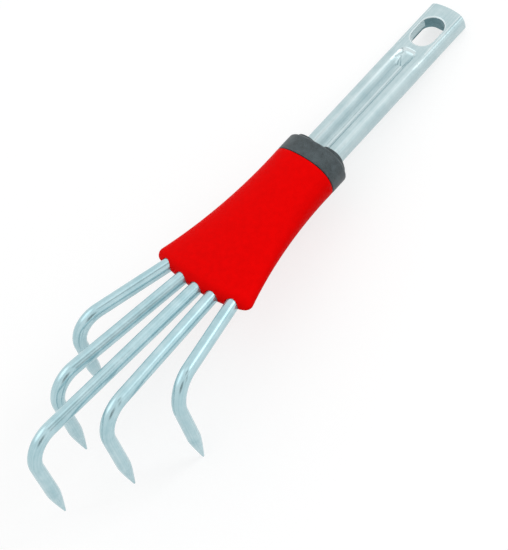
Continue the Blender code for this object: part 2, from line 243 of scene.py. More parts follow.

# %% [markdown]
# ## Four versions of the zinc
# Drawn bars are a little darker than rolled sheet. Inside the tongue a darker, duller zinc is
# painted shade, and the pressed rim of the latch hole takes a lighter zinc as a painted highlight.
# One recipe serves all four.

# %% Plate the bars, the sheet, its inside and its rim
bar_zinc = zinc_plating("bright_zinc_on_drawn_bar", "straight", "#a5c9d1", "#c6e1e7", 0.17)
# the sheet's lightest colour is a painted highlight, placed along the front by an attribute
sheet_zinc = zinc_plating(
    "bright_zinc_on_rolled_sheet", "object", "#b0c9ce", "#cbdde0", 0.19, painted_highlight_colour="#e6f1f3",
)
# a darker, duller zinc: painted shade for the hollow and for the hole's shaded walls
inner_zinc_painted_shade = zinc_plating("zinc_with_painted_shade_inside_the_tongue", "object", "#5a7b83", "#86abb3", 0.45)
# a lighter zinc on the hole's pressed rim: a painted highlight
rim_zinc_painted_highlight = zinc_plating("zinc_with_painted_highlight_on_pressed_rim", "object", "#cfdee1", "#e3edef", 0.30)
print("made", ", ".join(m.name for m in (bar_zinc, sheet_zinc, inner_zinc_painted_shade, rim_zinc_painted_highlight)))

# %% [markdown]
# ## Red hood plastic
# The hood is injection moulded in a strong red polypropylene, coloured through. Such a surface is
# semi-gloss with a very slight waviness from the mould, so that light breaks up softly on it. The
# colour is almost pure red, and a low specular level keeps it saturated under the studio light.

# %% The red plastic
MOULD_WAVE = 3.5 * MM
MOULD_GRAIN = 0.45 * MM
MOULD_BUMP = 0.3
MOULD_GLOSS_SPREAD = 0.06


def moulded_plastic(name, dark, light, roughness, wave_depth, grain_depth, specular):
    """A moulded plastic: slow waves and a fine spark-eroded grain."""
    material, tree = new_material(name)
    place = add_node(tree, "ShaderNodeTexCoord").outputs["Object"]
    wave = add_noise(tree, place, MOULD_WAVE, 2.0)
    grain = add_noise(tree, place, MOULD_GRAIN, 3.0)
    pattern = mix_values(tree, 0.5, wave, grain)
    relief = add_relief(tree, (wave, MOULD_BUMP, wave_depth), (grain, MOULD_BUMP, grain_depth))
    shader = add_node(
        tree, "ShaderNodeBsdfPrincipled",
        Base_Color=add_tones(tree, pattern, dark, light), Specular_IOR_Level=specular,
        Roughness=add_gloss(tree, pattern, roughness, MOULD_GLOSS_SPREAD), Normal=relief,
    )
    add_node(tree, "ShaderNodeOutputMaterial", Surface=shader.outputs["BSDF"])
    return material


red_plastic = moulded_plastic(
    "red_moulded_polypropylene", "#ea0000", "#f60101", roughness=0.46,
    wave_depth=0.10 * MM, grain_depth=0.02 * MM, specular=0.03,
)
print("made", red_plastic.name)

# %% [markdown]
# ## Grey collar plastic
# The collar is a harder plastic, such as glass-filled nylon, in a blue-black grey. Its mould was
# spark eroded, which leaves a fine grain that scatters the light and looks faintly speckled. So
# the grain is deeper than on the hood, the waves are lower, and the specular level is the usual.

# %% The grey plastic
grey_plastic = moulded_plastic(
    "grey_moulded_nylon", "#2a3437", "#4b575b", roughness=0.44,
    wave_depth=0.05 * MM, grain_depth=0.08 * MM, specular=0.5,
)
print("made", grey_plastic.name)

# %% [markdown]
# ## Turning a mesh into a piece
# Each piece is drawn along the tool's axes and moved to its place in its mesh, so that its object
# stays at the origin. It then hides its CAD node and rides on the frame's only body. A cut is made
# with a Boolean that is applied straight away.

# %% Helpers for pieces
CREASE_ANGLE = math.radians(35)


def plain_object(name, bm):
    """A bmesh as an object in the scene, its faces pointing out."""
    bmesh.ops.recalc_face_normals(bm, faces=bm.faces)
    mesh = bpy.data.meshes.new(name)
    bm.to_mesh(mesh)
    bm.free()
    item = bpy.data.objects.new(name, mesh)
    bpy.context.scene.collection.objects.link(item)
    return item


def cut_away(bm, cutter, operation="DIFFERENCE"):
    """The mesh with the cutter's shape taken from it, as a new bmesh."""
    target = plain_object("cut_target", bm)
    tool = plain_object("cut_tool", cutter)
    modifier = target.modifiers.new("cut", "BOOLEAN")
    modifier.object = tool
    modifier.operation = operation
    modifier.solver = "EXACT"
    graph = bpy.context.evaluated_depsgraph_get()
    result = bmesh.new()
    result.from_mesh(target.evaluated_get(graph).to_mesh())
    bpy.data.objects.remove(target)
    bpy.data.objects.remove(tool)
    return result


def finish_piece(name, bm, material, node, more=()):
    """Put the mesh in its place, dress it, and let it stand for its CAD node."""
    bmesh.ops.transform(bm, matrix=to_world, verts=bm.verts)
    item = plain_object(name, bm)
    for coat in (material, *more):
        item.data.materials.append(coat)
    item.data.shade_smooth()
    item.data.set_sharp_from_angle(angle=CREASE_ANGLE)
    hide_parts(node)
    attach(item, "root")
    print(f"{name}: {len(item.data.polygons)} faces")
    return item


print("creases start at", round(math.degrees(CREASE_ANGLE)), "degrees")

# %% [markdown]
# ## The tines' lines
# The five bars fan out from under the hood in one sloping plane, and the middle one reaches
# furthest. Each then turns straight down. Two points say all of that for one bar: its root, hidden
# in the hood, and the corner at which its two straight lengths would meet without the bend.

# %% Where each tine runs
SIDES = range(-2, 3)
BAR_RADIUS = 4.0 * MM
ROOT_Y = -58.0 * MM
ROOT_PITCH = 8.5 * MM
CORNER_PITCH = 19.2 * MM
CENTRE_REACH = 223.7 * MM
REACH_STEP = 35.5 * MM
FAN_RISE = math.radians(5.5)
FAN_AXIS_Y = -89.3 * MM
BEND_RADIUS = 16.0 * MM
DOWN = Vector((0, 0, -1))


def fan_height(y):
    """Height of the bars' centre plane at one place along the tool."""
    return (FAN_AXIS_Y - y) * math.tan(FAN_RISE)


def tine_line(side):
    """Root and corner of a tine, from -2 on the left to 2 on the right."""
    corner_y = -(CENTRE_REACH - REACH_STEP * abs(side))
    root = Vector((side * ROOT_PITCH, ROOT_Y, fan_height(ROOT_Y)))
    corner = Vector((side * CORNER_PITCH, corner_y, fan_height(corner_y)))
    return root, corner


for side in SIDES:
    root, corner = tine_line(side)
    print(f"tine {side + 3}: {(corner - root).length / MM:.1f} mm from root to corner")

# %% [markdown]
# ## Bending a bar
# The real bar is cut, bent round a former and ground to a point. The mesh is made the same way:
# a disc is pulled out along the shaft, spun round the former, and pulled down in short steps. It
# shrinks with each step, slowly at first, so that the point is full and ends in a small blunt tip.

# %% Helpers that pull a face along
BAR_SIDES = 48
BEND_STEPS = 28


def start_disc(bm, centre, axis, radius):
    """A filled circle that faces along the axis."""
    made = bmesh.ops.create_circle(bm, cap_ends=True, segments=BAR_SIDES, radius=radius)
    swing = Vector((0, 0, 1)).rotation_difference(axis).to_matrix().to_4x4()
    bmesh.ops.transform(bm, matrix=Matrix.Translation(centre) @ swing, verts=made["verts"])
    return bm.faces[:][-1]


def pull_face(bm, face, shift, scale=1.0):
    """Extrude a face by a shift and scale the new one about its own middle."""
    made = bmesh.ops.extrude_face_region(bm, geom=[face])["geom"]
    verts = [g for g in made if isinstance(g, bmesh.types.BMVert)]
    new_face = next(g for g in made if isinstance(g, bmesh.types.BMFace))
    bmesh.ops.translate(bm, verts=verts, vec=shift)
    middle = sum((v.co for v in verts), Vector()) / len(verts)
    bmesh.ops.scale(bm, verts=verts, vec=(scale,) * 3, space=Matrix.Translation(-middle))
    return new_face


def drop_inner_faces(bm):
    """Pulling a face leaves the old one inside, where its edges carry three faces."""
    inner = [f for f in bm.faces if all(len(e.link_faces) > 2 for e in f.edges)]
    bmesh.ops.delete(bm, geom=inner, context="FACES_ONLY")


print("a bar has", BAR_SIDES, "sides")

# %% [markdown]
# ## One bar from root to point
# The bend starts where the round former touches the shaft. From there the face is spun about the
# former's axis, and then it is pulled straight down. The left-hand hook is a little shorter than
# the others, so that its point stays hidden behind the middle one.

# %% Bend and point one bar
HOOK_DROP = 66.2 * MM
FIRST_HOOK_SHORTER = 5.7 * MM
POINT_LENGTH = 21.0 * MM
POINT_BLUNT = 1.1 * MM
POINT_FULLNESS = 1.25
POINT_STEPS = 14


def bend_of(side):
    """Direction of the shaft, the bend's angle, axis and centre, and where the bend starts."""
    root, corner = tine_line(side)
    along = (corner - root).normalized()
    angle = along.angle(DOWN)
    axis = along.cross(DOWN).normalized()
    start = corner - along * BEND_RADIUS * math.tan(angle / 2)
    return along, angle, axis, start + axis.cross(along) * BEND_RADIUS, start


def bent_bar(side):
    """One bar as a bmesh, along the tool's axes."""
    root, corner = tine_line(side)
    along, angle, axis, centre, start = bend_of(side)
    bm = bmesh.new()
    face = start_disc(bm, root, along, BAR_RADIUS)
    face = pull_face(bm, face, start - root)
    bent = bmesh.ops.spin(bm, geom=[face], cent=centre, axis=axis, angle=angle, steps=BEND_STEPS)
    face = next(g for g in bent["geom_last"] if isinstance(g, bmesh.types.BMFace))
    drop = HOOK_DROP - (FIRST_HOOK_SHORTER if side == SIDES[0] else 0)
    face = pull_face(bm, face, DOWN * (drop - (corner - start).length - POINT_LENGTH))
    radius, tip_radius = BAR_RADIUS, POINT_BLUNT / 2
    for i in range(1, POINT_STEPS + 1):
        taper = 1 - (i / POINT_STEPS) ** POINT_FULLNESS
        new_radius = tip_radius + (BAR_RADIUS - tip_radius) * taper
        face = pull_face(bm, face, DOWN * POINT_LENGTH / POINT_STEPS, new_radius / radius)
        radius = new_radius
    drop_inner_faces(bm)
    return bm


print(f"hooks drop {HOOK_DROP / MM:.1f} mm, the left one {FIRST_HOOK_SHORTER / MM:.1f} mm less")

# %% [markdown]
# ## Straightened coordinates
# Drawing lines follow the bar round its bend, so a plain pattern in space would cut across them.
# Each point therefore also stores where it would lie if its bar were still straight. The zinc
# plating reads that attribute, and its lines run along the bar from root to point. Every bar takes
# its own stretch of the pattern, so that no two look alike.

# %% Store where each point lies on the straight bar
PATTERN_SHIFT = 30 * MM


def straighten(point, side):
    """Across, out and along the bar as it was before bending."""
    root, corner = tine_line(side)
    along, angle, axis, centre, start = bend_of(side)
    outward = (start - centre).normalized()
    arm = point - centre
    across, ahead = arm.dot(axis), arm.dot(along)
    swept = math.atan2(ahead, arm.dot(outward))
    shaft = (start - root).length
    if ahead <= 0:
        return Vector((across, arm.dot(outward) - BEND_RADIUS, shaft + ahead))
    if swept < angle:
        flat = arm - axis * across
        return Vector((across, flat.length - BEND_RADIUS, shaft + BEND_RADIUS * swept))
    hook_outward = Matrix.Rotation(angle, 3, axis) @ outward
    length = shaft + BEND_RADIUS * angle + arm.dot(DOWN)
    return Vector((across, arm.dot(hook_outward) - BEND_RADIUS, length))


def add_straight_layer(bm, side):
    """Give every point of a bar its place on the straight one."""
    layer = bm.verts.layers.float_vector.new("straight")
    for vert in bm.verts:
        vert[layer] = straighten(vert.co, side) + Vector((side * PATTERN_SHIFT, 0, 0))


for side in SIDES:
    bar = bent_bar(side)
    add_straight_layer(bar, side)
    finish_piece(f"tine_bar_{side + 3}", bar, bar_zinc, f"tine_{side + 3}")

# %% [markdown]
# ## The welds
# Small fillet welds join the bars to the tongue's flat end. They lie hidden in the hood, so the CAD
# shapes are kept as they are and only take the zinc finish.

# %% Dress the welds
for name, node in frame["nodes"].items():
    if name.startswith("weld"):
        node.data.materials.clear()
        node.data.materials.append(sheet_zinc)
        print(name, "is dressed")

# %% [markdown]
# ## The groove
# The tongue is one strip of sheet steel, rolled until its two edges meet in a groove along the
# front, where a fine slit stays open. The groove is a V with a narrow flat floor, a little to the
# right, and its left slope is rounder than the right one. Near the tongue's end the press closes
# it: a ramp rises from the seam, and a round shoulder lifts it to the flat end under an arch. The
# depth is about the smaller of the two, V or ramp, so that creases form by themselves where they
# meet, and three more short ones lie where the press pinched the sheet.

# %% How deep the groove is
GROOVE_HALF = 6.5 * MM
GROOVE_FLAT = 0.8 * MM
SEAM_SHIFT = 0.9 * MM
GROOVE_DEPTH = 4.4 * MM
LEFT_POWER = 1.8
RIGHT_POWER = 1.45
ARCH_HALF = GROOVE_HALF + 0.1 * MM
ARCH_FOOT_Y = 90.3 * MM
ARCH_HEIGHT = 7.9 * MM
ARCH_POWER = 3.0
SHOULDER_DROP = 1.5 * MM
SHOULDER_LENGTH = 1.3 * MM
RAMP_SLOPE = 0.20
CREASE_POWER = 4.0
PRESS_CREASES = (
    ((0.2, 87.0), (-3.6, 92.8)),
    ((-1.5, 86.6), (-2.9, 89.6)),
    ((4.6, 89.4), (3.4, 94.8)),
)
CREASE_DEPTH = 0.35 * MM
CREASE_HALF = 0.38 * MM


def clamp(value):
    """The value, held between 0 and 1."""
    return min(max(value, 0.0), 1.0)


def v_depth(x):
    """Depth of the V, whose slopes start round at its brows and grow steeper to its flat floor."""
    from_middle = x - SEAM_SHIFT * max(0.0, 1 - abs(x) / GROOVE_HALF)
    reach = max(0.0, abs(from_middle) - GROOVE_FLAT) / (GROOVE_HALF - GROOVE_FLAT)
    power = LEFT_POWER if from_middle < 0 else RIGHT_POWER
    return GROOVE_DEPTH * max(0.0, 1 - reach) ** power


def ramp_depth(x, y):
    """Depth of the closing ramp below the arch in which it ends."""
    across = min(1.0, abs(x) / ARCH_HALF)
    arch = ARCH_FOOT_Y + ARCH_HEIGHT * (1 - across ** ARCH_POWER) ** (1 / ARCH_POWER)
    below = max(0.0, arch - y)
    return SHOULDER_DROP * (1 - math.exp(-(below / SHOULDER_LENGTH) ** 2)) + RAMP_SLOPE * below


def press_creases(x, y):
    """How far a point lies in one of the creases that the press leaves round the seam's end."""
    deepest = 0.0
    for start, end in PRESS_CREASES:
        start, end = Vector(start) * MM, Vector(end) * MM
        run = end - start
        share = clamp((Vector((x, y)) - start).dot(run) / run.length_squared)
        away = (Vector((x, y)) - start - run * share).length
        deepest = max(deepest, math.sqrt(1 - share) * math.exp(-(away / CREASE_HALF) ** 2))
    return deepest


def groove_depth(x, y):
    """The smaller of both depths, rounded a little where they cross, with the press's creases."""
    v, ramp = v_depth(x), ramp_depth(x, y)
    if min(v, ramp) <= 0:
        return 0.0
    floor = (v ** -CREASE_POWER + ramp ** -CREASE_POWER) ** (-1 / CREASE_POWER)
    return floor + press_creases(x, y) * min(CREASE_DEPTH, floor)


for y in (60, 88, 92, 96, 99):
    print(f"depth at y {y} mm: {groove_depth(0, y * MM) / MM:.2f} mm")

# %% [markdown]
# ## The tongue's profile
# A section of the tongue has rounded outer sides, written as one formula, and the groove's two
# slopes between them. The slit at the seam is drawn in too, as two close points that drop down.

# %% The profile of the rolled strip
TONGUE_WIDTH = 24.8 * MM
TONGUE_THICKNESS = 11.8 * MM
LOBE_POWER = 3.0
SHOULDER_STEPS = 36
GROOVE_STEPS = 32
SLIT_HALF = 0.06 * MM
SLIT_NARROWING = 0.9
SLIT_DEPTH = 0.15 * MM
SLIT_END_Y = 85.8 * MM
SLIT_FADE = 0.8 * MM

TUBE = dict(half_width=TONGUE_WIDTH / 2, half_depth=TONGUE_THICKNESS / 2, groove=1.0, z=0.0)


def spaced(start, end, count):
    """Evenly spaced values from start to end, with both ends."""
    return [start + (end - start) * i / count for i in range(count + 1)]


def lobe_side(form, wall):
    """Points round the right-hand side, from the back to the edge of the groove."""
    half_depth = form["half_depth"] + wall
    reach = form["half_width"] - form["half_depth"]
    points = []
    for i, angle in enumerate(spaced(-math.pi / 2, math.pi / 2, SHOULDER_STEPS)):
        c, s = abs(math.cos(angle)), math.sin(angle)
        x = c ** (2 / LOBE_POWER) * half_depth if 0 < i < SHOULDER_STEPS else 0.0
        points.append((reach + x, math.copysign(abs(s) ** (2 / LOBE_POWER), s) * half_depth))
    return points


def tongue_ring(y, form, wall=0.0):
    """Points round the tongue at one place; a negative wall gives the hollow inside it."""
    right = lobe_side(form, wall)
    top = form["half_depth"] + wall
    for x in spaced(GROOVE_HALF, SLIT_HALF, GROOVE_STEPS):
        right.append((x, top - form["groove"] * groove_depth(x, y)))
    open_share = clamp((SLIT_END_Y + SLIT_FADE - y) / SLIT_FADE) if wall == 0 else 0.0
    slit_z = right[-1][1] - form["groove"] * SLIT_DEPTH * open_share
    right.append((SLIT_HALF * SLIT_NARROWING, slit_z))
    left = [(-x, z) for x, z in reversed(right)]
    return [Vector((x, y, z + form["z"])) for x, z in right + [(0.0, slit_z)] + left]


print("the profile has", len(tongue_ring(0.0, TUBE)), "points")

# %% [markdown]
# ## Where the profile changes
# At its low end the tube is pressed flat to a wide fishtail for the welds. Towards the other end it
# is pressed a little thinner while the groove runs out. So the tongue is a row of sections, and
# only the numbers in the formula change from one to the next. They lie close where much happens.

# %% The sections of the fishtail
FISHTAIL_END_Y = -66.0 * MM
FISHTAIL_START_Y = -53.0 * MM
TUBE_LOW_Y = -34.0 * MM
FISHTAIL_HALF = 18.5 * MM
SHEET = 1.5 * MM
FIT_GAP = 0.3 * MM
FISHTAIL_STEPS = 12


def fishtail_sections():
    """(y, form) pairs from the flat end up to the full tube."""
    above_bars = BAR_RADIUS + FIT_GAP + SHEET
    flat = dict(TUBE, half_width=FISHTAIL_HALF, half_depth=SHEET, groove=0.0)
    sections = [(FISHTAIL_END_Y, dict(flat, z=fan_height(FISHTAIL_END_Y) + above_bars))]
    for share in spaced(0, 1, FISHTAIL_STEPS):
        y = FISHTAIL_START_Y + (TUBE_LOW_Y - FISHTAIL_START_Y) * share
        blend = share * share * (3 - 2 * share)
        form = {key: flat[key] + (TUBE[key] - flat[key]) * blend for key in TUBE}
        sections.append((y, dict(form, z=(fan_height(y) + above_bars) * (1 - blend))))
    return sections


print("fishtail sections:", len(fishtail_sections()))

# %% [markdown]
# ## The run-out
# Where the groove runs out, its shape turns from ramp to shoulder within about a millimetre, so the
# sections lie close together there. The even tube needs none between its two ends. The last one
# lies beyond the tongue's end, because the end is cut to its curve afterwards.

# %% The sections where the groove runs out
MARGIN = 10 * MM
RUN_OUT_Y = 85.0 * MM
THINNING = (86.0 * MM, 95.5 * MM)
GROOVE_END_Y = 98.5 * MM
TONGUE_END_Y = 133.7 * MM
END_THICKNESS = 11.0 * MM
RUN_OUT_STEPS = 48


def run_out_sections():
    """(y, form) pairs from the even tube to beyond the tongue's end."""
    sections = []
    for y in spaced(RUN_OUT_Y, GROOVE_END_Y, RUN_OUT_STEPS):
        share = clamp((y - THINNING[0]) / (THINNING[1] - THINNING[0]))
        thickness = TONGUE_THICKNESS + (END_THICKNESS - TONGUE_THICKNESS) * share
        sections.append((y, dict(TUBE, half_depth=thickness / 2)))
    end = dict(TUBE, half_depth=END_THICKNESS / 2, groove=0.0)
    sections[-1] = (GROOVE_END_Y, end)
    return sections + [(TONGUE_END_Y + MARGIN, end)]


print("run-out sections:", len(run_out_sections()))

# %% [markdown]
# ## Skinning a row of sections
# The skin starts as one circle of points, laid onto the first section. Its edges are pulled out
# again and again, and each new loop of points is laid onto the next section. That keeps point
# after point in line, which makes long clean faces like those of rolled or moulded parts.

# %% The helper that pulls a loop of edges
def pull_loop(bm, loop, ring):
    """Extrude a closed loop of vertices and lay the new one onto a ring of points."""
    edges = [bm.edges.get((a, b)) for a, b in zip(loop, loop[1:] + loop[:1])]
    made = bmesh.ops.extrude_edge_only(bm, edges=edges)["geom"]
    fresh = {g for g in made if isinstance(g, bmesh.types.BMVert)}
    new_loop = [
        next(e.other_vert(v) for e in v.link_edges if e.other_vert(v) in fresh) for v in loop
    ]
    for vert, point in zip(new_loop, ring):
        vert.co = point
    return new_loop


def skin(rings):
    """A closed body through a row of rings with equal point counts."""
    bm = bmesh.new()
    loop = bmesh.ops.create_circle(bm, segments=len(rings[0]), radius=1.0)["verts"]
    for vert, point in zip(loop, rings[0]):
        vert.co = point
    for ring in rings[1:]:
        loop = pull_loop(bm, loop, ring)
    ends = [e for e in bm.edges if e.is_boundary]
    bmesh.ops.holes_fill(bm, edges=ends, sides=0)
    return bm


run_out = run_out_sections()
tongue = skin([tongue_ring(y, form) for y, form in fishtail_sections() + run_out])
print("the tongue's skin has", len(tongue.faces), "faces")

# %% [markdown]
# ## Trimming and hollowing the tongue
# The real end is sheared to a shallow arc, and the rolled strip leaves the tongue hollow. One block
# with a curved end trims the arc, and a second skin inside the first takes out the hollow. The
# hollow stops short of the end, so that a wall closes it.

# %% Trim the end and take out the hollow
END_CROWN = 1.8 * MM
END_SEGMENTS = 24


def plan_block(outline, low, high):
    """A block with the given plan outline, between two heights."""
    return skin([[Vector((x, y, z)) for x, y in outline] for z in (low, high)])


def arc_outline():
    """Plan of everything below the tongue's curved end."""
    low_y = FISHTAIL_END_Y - MARGIN
    outline = [(TONGUE_WIDTH, low_y), (-TONGUE_WIDTH, low_y)]
    for x in spaced(-TONGUE_WIDTH, TONGUE_WIDTH, END_SEGMENTS):
        outline.append((x, TONGUE_END_Y - END_CROWN * (2 * x / TONGUE_WIDTH) ** 2))
    return outline


below_arc = plan_block(arc_outline(), -TONGUE_THICKNESS, TONGUE_THICKNESS)
tongue = cut_away(tongue, below_arc, "INTERSECT")
inner_end = (TONGUE_END_Y - END_CROWN - SHEET, run_out[-1][1])
hollow = [(TUBE_LOW_Y, TUBE)] + run_out[:-1] + [inner_end]
tongue = cut_away(tongue, skin([tongue_ring(y, form, -SHEET) for y, form in hollow]))
print("the hollow tongue has", len(tongue.faces), "faces")

# %% [markdown]
# ## The latch hole
# The handle's latch drops into this long hole. Round it the press turns the front wall down into a
# short flange, whose rim is a quarter round in a very shallow dish. The hole in the back wall is
# wider, which leaves room behind. So a block for the flange is joined on first, and then a flaring
# cutter takes out the front hole and a plain one the back.

# %% The outlines of the holes
LATCH_Y = 113.3 * MM
LATCH_WIDTH = 15.5 * MM
LATCH_LENGTH = 22.5 * MM
SLOT_END_FLAT = 0.01 * MM
CORNER_STEPS = 14
EDGE_STEPS = 6


def slot_outline(width, length, radius):
    """Plan of a slot with rounded corners, long along Y."""
    outline = []
    for quarter in range(4):
        x = (width / 2 - radius) * (1 if quarter in (0, 3) else -1)
        y = (length / 2 - radius) * (1 if quarter in (0, 1) else -1)
        for turn in spaced(quarter, quarter + 1, CORNER_STEPS):
            angle = math.pi / 2 * turn
            outline.append((x + radius * math.cos(angle), LATCH_Y + y + radius * math.sin(angle)))
    return outline


def front_outline(growth):
    """Plan of the front hole, larger all round; its ends are all but half circles."""
    width, length = LATCH_WIDTH + 2 * growth, LATCH_LENGTH + 2 * growth
    return slot_outline(width, length, width / 2 - SLOT_END_FLAT)


def round_edge(height, edge):
    """(height, inset) pairs of a quarter round that ends at a height."""
    turns = spaced(0, math.pi / 2, EDGE_STEPS)
    return [(height - edge * (1 - math.sin(a)), edge * (1 - math.cos(a))) for a in turns]


print("the front hole's plan has", len(front_outline(0.0)), "points")

# %% Press the latch hole
LATCH_RIM = 0.5 * MM
LATCH_DISH = 0.35 * MM
LATCH_DISH_SLOPE = 0.35
FLANGE_WALL = 0.9 * MM
FLANGE_LOW_Z = 1.9 * MM
LATCH_BACK_WIDTH = 20.6 * MM
LATCH_BACK_LENGTH = 23.2 * MM
LATCH_BACK_CORNER = 6.0 * MM


def front_slot():
    """The front hole's cutter, which flares in a quarter round and then to the dish's edge."""
    face = END_THICKNESS / 2
    levels = [(0.0, 0.0)] + round_edge(face - LATCH_DISH * LATCH_DISH_SLOPE, LATCH_RIM)
    levels += [(z, LATCH_RIM + LATCH_DISH) for z in (face, face + MARGIN)]
    return skin([[Vector((x, y, z)) for x, y in front_outline(growth)] for z, growth in levels])


flange = plan_block(front_outline(FLANGE_WALL), FLANGE_LOW_Z, END_THICKNESS / 2 - SHEET / 2)
tongue = cut_away(tongue, flange, "UNION")
tongue = cut_away(tongue, front_slot())
back = slot_outline(LATCH_BACK_WIDTH, LATCH_BACK_LENGTH, LATCH_BACK_CORNER)
tongue = cut_away(tongue, plan_block(back, -TONGUE_THICKNESS, 0.0))
print("with its latch hole the tongue has", len(tongue.faces), "faces")

# %% [markdown]
# ## Three finishes on one tongue
# The hollow takes a darker, duller zinc as painted shade, and the rim of the hole a lighter zinc as
# a painted highlight. Each face takes its finish from its place and the way it looks. Faces that
# look inward belong to the hollow, and so do the shaded walls at the hole's upper end. Near the
# front hole, faces that aren't level with the front belong to the rim.

# %% Tell the tongue's surfaces apart
# finish slots: 1 paints shade on the hollow, 2 paints a highlight on the hole's rim
PAINTED_SHADE_INSIDE, PAINTED_HIGHLIGHT_RIM = 1, 2
HOLLOW_TOP = END_THICKNESS / 2 - SHEET
EVEN_TUBE_ROOM = 0.5 * MM
INWARD = -1e-6
FLANGE_ROOM = 0.1 * MM
SHADED_LEFT, SHADED_RIGHT = 0.3, -0.35
UPRIGHT = 0.5
RIM_ROOM = 2 * MM
LEVEL = 0.985


def tongue_surface(face):
    """Which finish a face takes: outside, the hollow's walls in painted shade, or the rim in
    painted highlight.
    """
    middle, normal = face.calc_center_median(), face.normal
    beside, ahead = abs(middle.x), abs(middle.y - LATCH_Y)
    inward = normal.x * middle.x + normal.z * middle.z < INWARD
    top = HOLLOW_TOP + EVEN_TUBE_ROOM * (middle.y < RUN_OUT_Y)
    on_flange = beside < LATCH_WIDTH / 2 + FLANGE_ROOM and FLANGE_LOW_Z < middle.z
    # inward faces and the hole's shaded far walls take the darker zinc, as painted shade
    if inward and abs(middle.z) < top and not on_flange:
        return PAINTED_SHADE_INSIDE
    shaded = normal.y < (SHADED_RIGHT if normal.x > 0 else SHADED_LEFT)
    in_hole = beside < LATCH_BACK_WIDTH / 2 and LATCH_Y < middle.y < TONGUE_END_Y - END_CROWN
    if shaded and abs(normal.z) < UPRIGHT and in_hole and middle.z < HOLLOW_TOP:
        return PAINTED_SHADE_INSIDE
    # faces round the front hole take the lighter zinc, as a painted highlight
    near_hole = beside < LATCH_WIDTH / 2 + RIM_ROOM and ahead < LATCH_LENGTH / 2 + RIM_ROOM
    if near_hole and middle.z > HOLLOW_TOP and normal.z < LEVEL:
        return PAINTED_HIGHLIGHT_RIM
    return 0


tongue.normal_update()
for face in tongue.faces:
    face.material_index = tongue_surface(face)
kinds = [face.material_index for face in tongue.faces]
print("faces outside, inside and on the rim:", [kinds.count(kind) for kind in (0, PAINTED_SHADE_INSIDE, PAINTED_HIGHLIGHT_RIM)])

# %% [markdown]
# ## Painted highlight and shade on the sheet
# A lighter zinc colour is painted along the groove's brows, round the arch, on the right slope and
# on the right shoulder as a painted highlight. A darker one on the left slope, in the short creases
# and on the shoulder beyond the arch is painted shade. Every point of the front stores one number
# for that, above 0 for painted highlight and below 0 for painted shade.

# %% Paint highlight and shade on the sheet
BROW_BAND = (0.88, 0.15)
BROW_FADE = (4.0 * MM, 6.5 * MM)
BROW_END_Y = GROOVE_END_Y + 1 * MM
BROW_PAINTED_HIGHLIGHT = 0.6
ARCH_START = 0.3
ARCH_PAINTED_HIGHLIGHT = 0.3
SHOULDER_BAND = (10.1 * MM, 1.2 * MM)
SHOULDER_PAINTED_HIGHLIGHT = 0.4
SLOPE_END_Y = 86.5 * MM
RIGHT_SLOPE_BAND = (2.4 * MM, 2.6 * MM)
LEFT_SLOPE_BAND = (2.4 * MM, 1.7 * MM)
LEFT_SLOPE_PAINTED_SHADE = 0.34
CREASE_PAINTED_SHADE = 0.8


def band(value, centre, half):
    """1 at the centre of a band, fading to 0 at its edges."""
    return max(0.0, 1 - abs(value - centre) / half)


def painted_highlight_and_shade(point):
    """Painted highlight or shade on the front at a point, from 1 for full highlight to -1 for full
    shade.
    """
    if point.z < 0:
        return 0.0
    even, on_slopes = point.y < GROOVE_END_Y, point.y < SLOPE_END_Y
    up = max(0.0, point.y - ARCH_FOOT_Y) / ARCH_HEIGHT
    brow = (abs(point.x / GROOVE_HALF) ** ARCH_POWER + up ** ARCH_POWER) ** (1 / ARCH_POWER)
    fade = clamp((BROW_FADE[1] - point.x) / (BROW_FADE[1] - BROW_FADE[0]))
    brow_highlight_strength = BROW_PAINTED_HIGHLIGHT + ARCH_PAINTED_HIGHLIGHT * (up > ARCH_START)
    brow_highlight = band(brow, *BROW_BAND) * fade * (point.y < BROW_END_Y) * brow_highlight_strength
    shoulder = band(point.x, *SHOULDER_BAND) * SHOULDER_PAINTED_HIGHLIGHT
    # painted highlight on brows, arch, right slope and shoulder; painted shade on left slope,
    # creases, far shoulder
    bright = max(brow_highlight, shoulder * even, band(point.x, *RIGHT_SLOPE_BAND) * on_slopes)
    left_slope_shade = band(-point.x, *LEFT_SLOPE_BAND) * LEFT_SLOPE_PAINTED_SHADE * on_slopes * (1 - bright)
    creases = press_creases(point.x, point.y) * CREASE_PAINTED_SHADE * even
    return bright - max(left_slope_shade, creases, shoulder * (not even))


layer = tongue.verts.layers.float.new("painted_highlight_and_shade")
for vert in tongue.verts:
    vert[layer] = painted_highlight_and_shade(vert.co)
finish_piece(
    "rolled_tongue", tongue, sheet_zinc, "tongue", (inner_zinc_painted_shade, rim_zinc_painted_highlight),
)

# %% [markdown]
# ## The hood's shape
# The hood starts as an oval that fits the collar and spreads to a wide flat mouth, which is arched
# in plan and closed by a rounded nose. Two formulae give its half width and half depth, and each
# section is a rounded oval. A second skin, one wall inside the first, makes it a shell.

# %% The hood's sections
HOOD_LENGTH = 94.0 * MM
HOOD_TOP_WIDTH = 40.5 * MM
HOOD_TOP_DEPTH = 30.0 * MM
HOOD_MOUTH_WIDTH = 71.6 * MM
HOOD_MOUTH_DEPTH = 13.2 * MM
HOOD_FLARE_POWER = 1.85
HOOD_WALL = 2.2 * MM
HOOD_END_WEB = 3.0 * MM
HOOD_NOSE = 6.0 * MM
HOOD_CORNER = 5.2 * MM
HOOD_EDGE = 0.6 * MM
HOOD_MOUTH_CROWN = 5.1 * MM
OVAL_POWER = 2.4
OVAL_POINTS = 160
HOOD_STATIONS = 32
NOSE_STEPS = 16
NOSE_LEAST = 0.05


